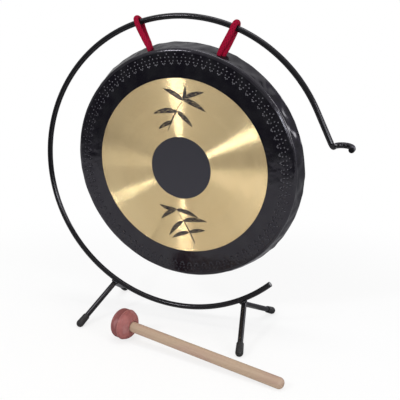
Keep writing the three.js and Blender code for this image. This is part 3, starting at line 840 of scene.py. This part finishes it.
mallet = {"tip": (-45.9, -62.3), "heading": -12.4, "length": 202, "shaft": 5.5, "butt": 4.6, "head": 15.8, "crown": 7.5,
          "side": 6.6, "sideEdge": (2.5, 1), "back": 8.6, "backEdge": 0.25, "taper": 10.3, "seam": 0.5,
          "seamWidth": 0.9, "seamArc": 70, "bore": 13.5, "boreRoom": 0.05, "mouth": [(1.6, 0), (0.5, 0.1), (0, -0.4)],
          "shaftRoom": 0.3, "bevel": 0.3, "shaftEdge": (2, 1), "flatEnd": 1, "headSides": 96, "shaftSides": 64,
          "crownSteps": 22, "seamSteps": 8, "backRings": 22, "shaftRings": 60, "buttSteps": 10}
headLook = {"rose": (0.245, 0.07, 0.067), "paleRose": (0.36, 0.12, 0.112), "paintedShadeBand": (0.165, 0.042, 0.042),
            "seam": (0.42, 0.18, 0.16), "scuff": (0.40, 0.19, 0.19), "chalk": (0.42, 0.20, 0.18),
            "rough": 0.6, "gloss": 0.35, "relief": 0.00022}
woodLook = {"pale": (0.47, 0.325, 0.25), "dark": (0.38, 0.24, 0.18), "honey": (0.46, 0.35, 0.235),
            "fleck": (0.26, 0.15, 0.10), "rough": 0.5, "gloss": 0.4, "relief": 0.00015}
seamAt = mallet["crown"] + mallet["side"]  # the distance of the head's widest place from its tip


# Where the mallet lies: its tip, the slope from its head down to its butt, and its heading. It touches the table
# with the head's seam and the end of the shaft.
def malletPlace():
    proud = mallet["head"] + mallet["seam"]
    slope = np.arctan2(proud - mallet["shaft"], mallet["length"] - mallet["butt"] - seamAt)
    height = proud * np.cos(slope) + seamAt * np.sin(slope)
    return np.array([*mallet["tip"], legs["floor"] + height]), slope, np.radians(mallet["heading"])


def malletSpot(f):  # with x along the mallet from its tip
    at, slope, heading = malletPlace()
    return f.place(toMetres(at), (0, slope, heading))


def headFinish():
    f = newFinish("rose rubber")
    spot = malletSpot(f)
    along, _, _ = f.parts(spot)
    seam = f.between(f.maths("ABSOLUTE", along - seamAt), 0.35, 0.8, 1, 0)
    # Painted shade: a darker band round the side of the head, just in front of the seam
    paintedShadeBand = f.between(along, seamAt - 14, seamAt - 4) * f.between(along, seamAt - 0.5, seamAt - 0.2, 1, 0)
    cloud = f.noise(spot, 0.09, detail=4, rough=0.6)
    grain = f.noise(spot, 1.9, detail=3, rough=0.6)
    scuff = f.between(f.noise(spot, (0.13, 0.05, 0.05), detail=3, rough=0.6), 0.56, 0.68)
    colour = f.layers(headLook["rose"], (f.between(cloud, 0.3, 0.7), headLook["paleRose"]),
                      (paintedShadeBand * 0.75, headLook["paintedShadeBand"]), (seam * 0.35, headLook["seam"]),
                      (scuff * 0.5, headLook["scuff"]), (f.between(grain, 0.55, 0.8, end=0.2), headLook["chalk"]))
    return f.surface(headLook, colour, grain * 0.14, f.bump(grain * 0.4 + cloud * 1.2, headLook["relief"], 0.6))


# Wood: grain, tone and flecks are noises drawn out along the shaft
def woodFinish():
    f = newFinish("pale beech")
    spot = malletSpot(f)
    grain = f.noise(spot, (0.012, 0.55, 0.55), detail=4, rough=0.65, warp=0.4)
    tone = f.noise(spot, (0.02, 0.09, 0.09))
    mark = f.between(f.noise(spot, (0.28, 2.6, 2.6)), 0.62, 0.74)
    colour = f.layers(woodLook["pale"], (f.between(grain, 0.32, 0.7), woodLook["dark"]),
                      (f.between(tone, 0.35, 0.68, end=0.6), woodLook["honey"]), (mark * 0.45, woodLook["fleck"]))
    return f.surface(woodLook, colour, grain * 0.12, f.bump(grain * 0.5 - mark * 0.5, woodLook["relief"], 0.6))


# The head: a domed crown, a straight side up to the seam's bead, and behind it the radius times the square root of
# one minus the squared share of the taper. The shaft: a rod whose end is rounded by a quarter circle.
def addMallet(rose, beech):
    at, slope, heading = malletPlace()
    axis = np.array([np.cos(heading) * np.cos(slope), np.sin(heading) * np.cos(slope), -np.sin(slope)])
    r, half, crown, arch = mallet["head"], mallet["seamWidth"] / 2, mallet["crown"], mallet["seamArc"]
    (after, before), rear = mallet["sideEdge"], seamAt + mallet["back"]
    behind = np.linspace(half, mallet["back"] - mallet["backEdge"], mallet["backRings"])
    bore = mallet["shaft"] + mallet["boreRoom"]
    outline = np.concatenate([
        arc((0, crown), (r, crown), -90, 0, mallet["crownSteps"]),
        [(r, crown + after), (r, seamAt - half - before), (r, seamAt - half)],
        arc((r, seamAt), (mallet["seam"], half), -arch, arch, mallet["seamSteps"]),
        np.stack([r * np.sqrt(1 - (behind / mallet["taper"]) ** 2), seamAt + behind], -1),
        [(bore + out, rear + on) for out, on in mallet["mouth"]],
        [(bore, rear - mallet["bore"]), (0, rear - mallet["bore"])]])
    points, faces = turned(outline, mallet["headSides"], at, axis, (0, 0, 1))
    makePiece("malletHead", points, faces, "mallet", ["mallet_head"], rose)
    s, end, butt, bevel, rings = [mallet[key] for key in ("shaft", "length", "butt", "bevel", "shaftRings")]
    (after, before), start = mallet["shaftEdge"], rear - mallet["bore"] + mallet["shaftRoom"]
    outline = np.concatenate([
        [(0, start), (s - bevel, start), (s, start + bevel)],
        np.stack([np.full(rings, s), np.linspace(start + after, end - butt - before, rings)], -1),
        arc((s - butt, end - butt), (butt, butt), 0, 90, mallet["buttSteps"]),
        [(mallet["flatEnd"], end), (0, end)]])
    points, faces = turned(outline, mallet["shaftSides"], at, axis, (0, 0, 1))
    makePiece("malletShaft", points, faces, "mallet", ["mallet_shaft"], beech)


addMallet(headFinish(), woodFinish())
print("mallet made")


studio = {"aim": (0, 0, 0.17), "sky": 0.65, "floor": (0.93, 0.93, 0.93), "floorReach": 12, "floorGlow": 0.76,
          "floorSheen": 0.35, "glow": (0.24, 0.56)}
lamps = {"topLamp": {"at": (-0.48, -0.90, 0.78), "size": (0.17, 0.17), "power": 3.4},
         "lowLamp": {"at": (0.80, -0.98, 0.37), "size": (0.45, 0.2), "power": 5.6, "glossy": True,
                     "colour": (0.93, 1, 1), "roll": 27},
         "sideLamp": {"at": (1.15, -0.45, 0.6), "size": (0.3, 0.5), "power": 3.2},
         "sidePanel": {"at": (1.2, -0.35, 0.55), "size": (0.3, 0.6), "power": 3.5, "glossy": True},
         "overheadLamp": {"at": (0.1, 0.0, 1.3), "size": (0.25, 0.7), "power": 3.6},
         "backPanel": {"at": (0.85, 1.3, 0.62), "size": (0.7, 0.6), "power": 5, "glossy": True}}


# White far out, and near the object as the camera sees it, but matt to the light, so that shadows stay on it
def addFloor():
    f = newFinish("pale floor")
    x, y, _ = f.parts(f.place())
    start, end = studio["glow"]
    far = f.between((x * x + y * y) ** 0.5, start / millimetre, end / millimetre)
    direct, mirrored = f.rays()
    near = f.maths("MAXIMUM", direct * studio["floorGlow"], mirrored * studio["floorSheen"])
    matt = f.node("BsdfDiffuse", {"Color": studio["floor"]})
    glow = f.node("Emission", {})
    f.close(f.node("MixShader", {0: far + (1 - far) * near, 1: matt, 2: glow}))
    r = studio["floorReach"]
    newMesh("floor", [(-r, -r, 0), (r, -r, 0), (r, r, 0), (-r, r, 0)], [(0, 1, 2, 3)], f.owner)


# What only reflections see: a grey wall, darker and bluer behind, and ground that is dark far in front, pale under
# the stand and grey behind it
surround = {"radius": 3, "height": 2.6, "lift": 0.001, "steps": 40,
            "walls": {"dimWall": (-150, 118, (0.5, 0.5, 0.5)), "greyWall": (118, 210, (0.44, 0.42, 0.5))},
            "grounds": {"darkGround": (-3, -0.39, (0.01, 0.01, 0.012)), "paleGround": (-0.39, 0.06, (0.84, 0.84, 0.84)),
                        "greyGround": (0.06, 3, (0.45, 0.45, 0.47))}}


def addReflected(name, points, faces, colour):
    f = newFinish(name)
    cloth = newMesh(name, points, faces, f.close(f.node("BsdfDiffuse", {"Color": colour})))
    cloth.visible_camera = cloth.visible_diffuse = cloth.visible_shadow = cloth.visible_transmission = False


# A wall stands round the table between two bearings from the front, and a ground lies between two depths.
def addSurround():
    r, lift, steps = surround["radius"], surround["lift"], surround["steps"]
    j = np.arange(steps)
    for name, (start, end, colour) in surround["walls"].items():
        turn = np.radians(np.linspace(start, end, steps + 1))
        foot = np.stack([r * np.sin(turn), -r * np.cos(turn), 0 * turn], -1)
        points = np.concatenate([foot, foot + [0, 0, surround["height"]]])
        addReflected(name, points.tolist(), np.stack([j, j + 1, j + steps + 2, j + steps + 1], -1).tolist(), colour)
    for name, (front, rear, colour) in surround["grounds"].items():
        corners = [(-r, front, lift), (r, front, lift), (r, rear, lift), (-r, rear, lift)]
        addReflected(name, corners, [(0, 1, 2, 3)], colour)


# A lamp; a glossy one is a panel that only reflections show
def addLamp(name, at, size, power, glossy=False, colour=(1, 1, 1), roll=0.0):
    data = bpy.data.lights.new(name, "AREA")
    data.shape, data.size, data.size_y, data.energy, data.color = "RECTANGLE", size[0], size[1], power, colour
    obj = newObject(name, data)
    obj.location = at
    facing = (Vector(studio["aim"]) - Vector(at)).to_track_quat("-Z", "Y").to_matrix()
    obj.rotation_euler = (facing @ Matrix.Rotation(np.radians(roll), 3, "Z")).to_euler()
    obj.visible_camera, obj.visible_diffuse = False, not glossy


# White for the camera and for mirrored and refracted rays, and dimmer for the light on the object
def addWorld():
    f = Finish(bpy.data.worlds.new("studio"))
    bpy.context.scene.world = f.owner
    strength = f.node("MapRange", {"Value": f.maths("MAXIMUM", *f.rays()), "To Min": studio["sky"]})
    f.close(f.node("Background", {"Color": (1, 1, 1), "Strength": strength}), "OutputWorld")


addFloor()
addWorld()
addSurround()
for name, lamp in lamps.items():
    addLamp(name, **lamp)
bpy.context.scene.view_settings.view_transform = "Standard"
print("studio set")
